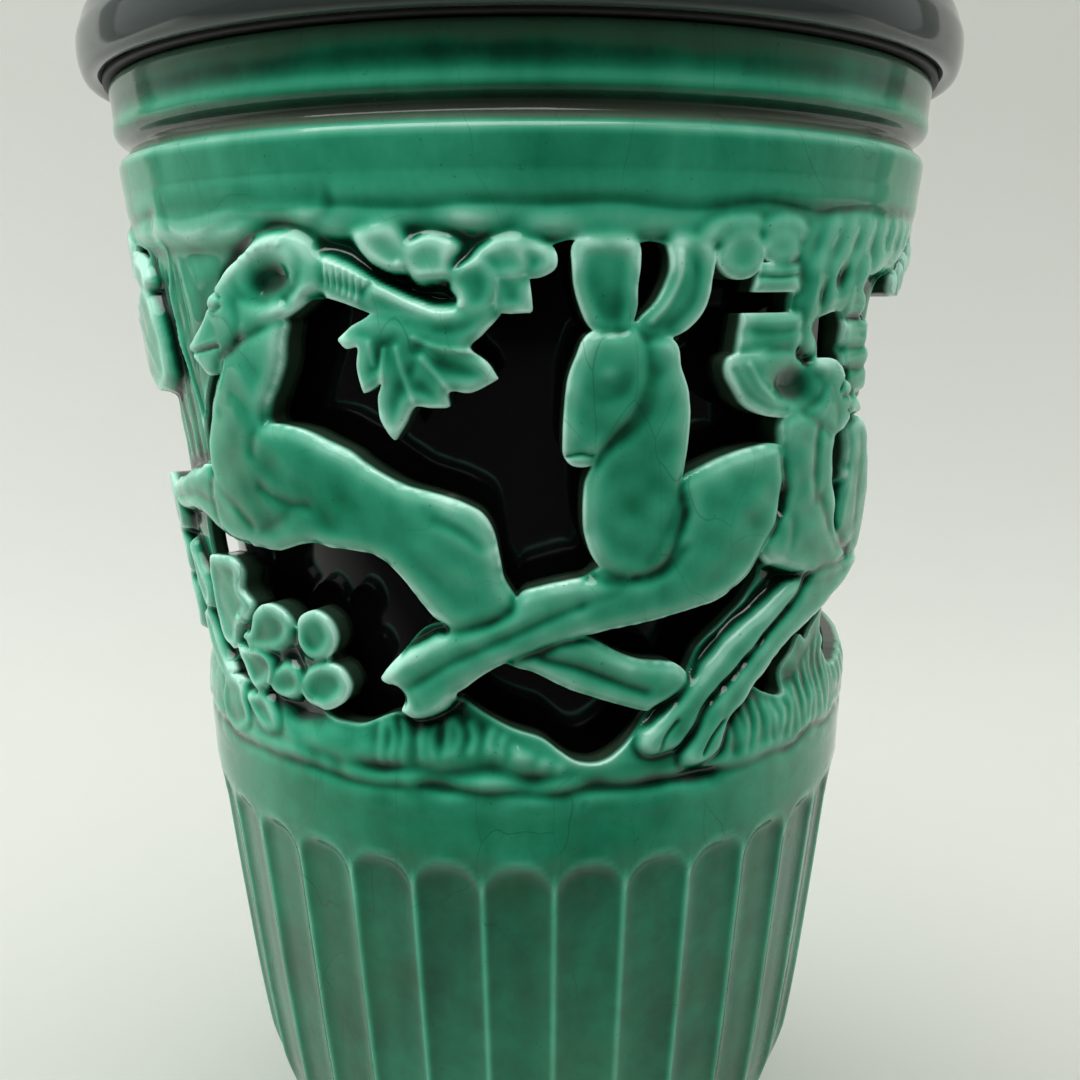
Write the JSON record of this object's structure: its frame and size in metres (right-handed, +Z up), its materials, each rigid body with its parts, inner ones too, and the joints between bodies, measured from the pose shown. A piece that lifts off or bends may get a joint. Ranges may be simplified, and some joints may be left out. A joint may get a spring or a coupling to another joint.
{
  "type": "ceramic television lamp",
  "caption": "Green openwork ceramic lamp with a fluted body and a black lift-out inner bowl whose rolled rim sits on top; the bulb inside shines up and through the piercing.",
  "frame": {"origin": "centre of the felt ring's underside, on the table", "axes": "+Z up along the lamp's axis; the front faces -Y and the cord leaves at +Y"},
  "size_m": [0.2048, 0.2949, 0.316],
  "materials": {
    "green_glaze": "gloss",
    "black_glaze": "gloss",
    "black_rubber": "matte",
    "green_felt": "matte",
    "plated_steel": "satin",
    "brass": "satin",
    "aluminium": "satin",
    "fibre": "matte",
    "phenolic": "satin",
    "black_glass": "gloss",
    "frosted_glass": "satin",
    "clear_glass": "gloss",
    "tungsten": "satin",
    "brown_cord": "satin",
    "brown_plastic": "gloss"
  },
  "bodies": {
    "lamp": {"openwork_sleeve": "green_glaze", "felt_ring": "green_felt", "bowl_gasket": "black_rubber", "lamp_pipe": "plated_steel", "cushion_washers": "black_rubber", "pipe_washers": "plated_steel", "pipe_nuts": "plated_steel", "socket_cap": "brass", "socket_set_screw": "plated_steel", "socket_shell": "brass", "socket_insulator": "fibre", "socket_core": "phenolic", "terminal_screws": "brass", "socket_screw_shell": "aluminium", "socket_contact": "brass", "lamp_cord": "brown_cord", "cord_leads": "brown_cord", "cord_grommet": "black_rubber", "switch_lower_case": "brown_plastic", "switch_upper_case": "brown_plastic", "switch_screw": "plated_steel", "switch_contacts": "brass", "plug_body": "brown_plastic", "plug_blades": "brass"},
    "bowl": {"inner_bowl": "black_glaze"},
    "bulb_centre": {"bulb_tip": "brass"},
    "bulb": {"bulb_insulator": "black_glass", "bulb_base": "aluminium", "bulb_envelope": "frosted_glass", "bulb_stem": "clear_glass", "bulb_filament": "tungsten"},
    "wheel": {"switch_wheel": "brown_plastic"}
  },
  "joints": [
    {"name": "bowl_lift", "type": "slide", "parent": "lamp", "child": "bowl", "axis": [0, 0, 1], "range_m": [0, 0.25]},
    {"name": "bulb_rise", "type": "slide", "parent": "lamp", "child": "bulb_centre", "axis": [0, 0, 1], "range_m": [0, 0.0128]},
    {"name": "bulb_turn", "type": "hinge", "parent": "bulb_centre", "child": "bulb", "pos_m": [0, 0, 0.17], "axis": [0, 0, 1], "range_deg": [0, 1260]},
    {"name": "wheel_turn", "type": "hinge", "parent": "lamp", "child": "wheel", "pos_m": [0.0045, 0.135, 0.008], "axis": [0, 0, 1], "continuous": true}
  ],
  "couplings": [
    {"joint": "bulb_rise", "follows": "bulb_turn", "m_per_rad": 0.00057757}
  ]
}
